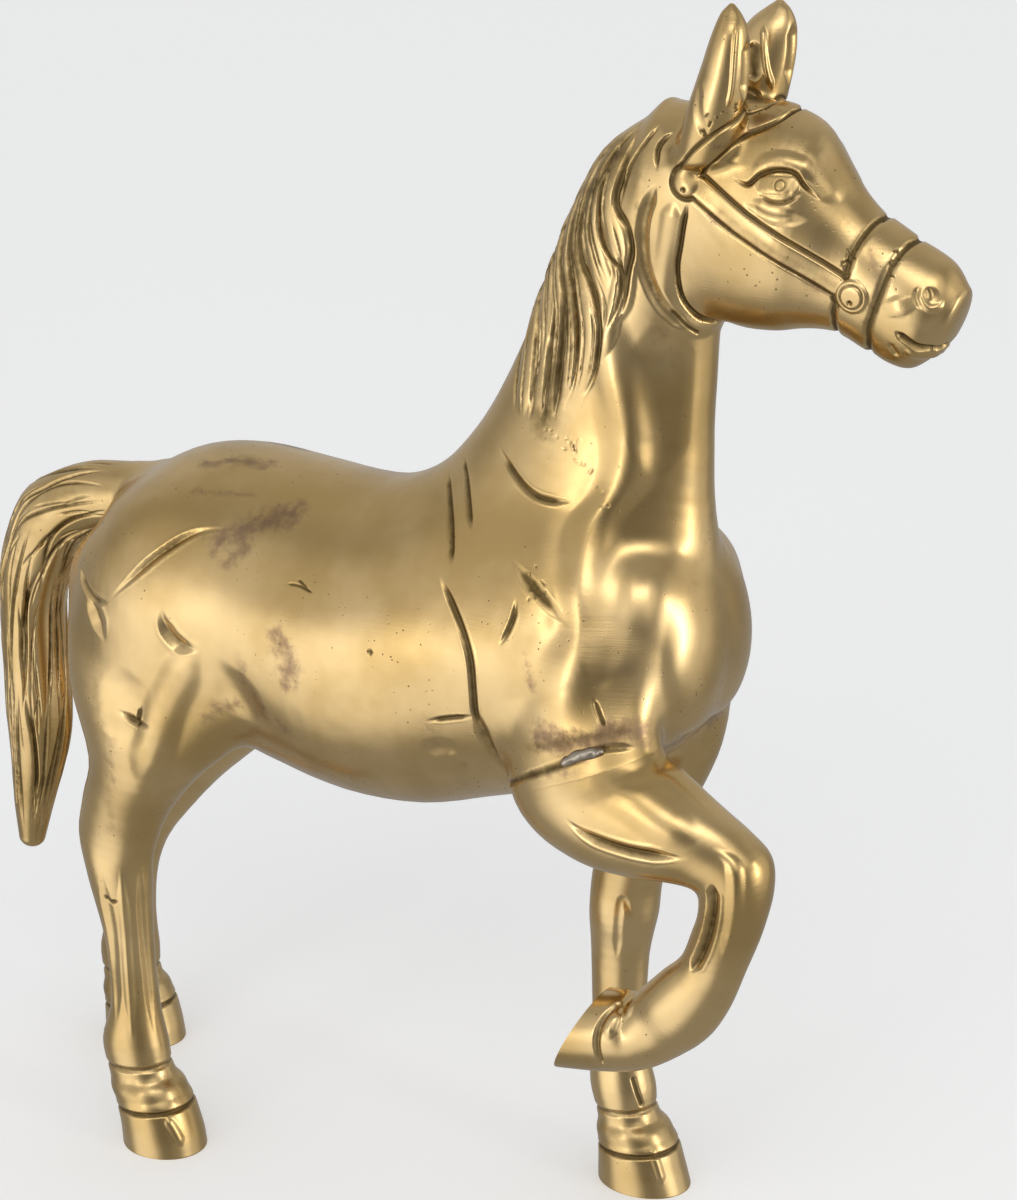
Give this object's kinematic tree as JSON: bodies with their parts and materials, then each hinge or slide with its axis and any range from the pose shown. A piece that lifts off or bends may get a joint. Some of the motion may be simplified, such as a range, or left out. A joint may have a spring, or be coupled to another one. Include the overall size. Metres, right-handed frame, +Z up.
{
  "type": "horse statue",
  "caption": "Cast brass horse ornament, standing with its right foreleg raised, in a bridle, with a carved mane and tail.",
  "frame": {"origin": "on the surface the statue stands on, under the middle of its bounding box", "axes": "+X forward to the nose, +Y to the horse's left, +Z up"},
  "size_m": [0.278, 0.0778, 0.321],
  "materials": {
    "body_brass": "hand polished, with brown tarnish in the grooves",
    "head_brass": "hand polished, with brown tarnish round the straps",
    "leg_brass": "filed and polished, tarnished at the hoofs",
    "tail_brass": "as cast with coarse strands, lightly polished",
    "braze": "dull grey brown braze"
  },
  "bodies": {
    "root": {"body_right_half": "body_brass", "body_left_half": "body_brass", "head": "head_brass", "right_foreleg": "leg_brass", "left_foreleg": "leg_brass", "right_hind_leg": "leg_brass", "left_hind_leg": "leg_brass", "tail": "tail_brass", "right_foreleg_braze": "braze"}
  },
  "joints": []
}
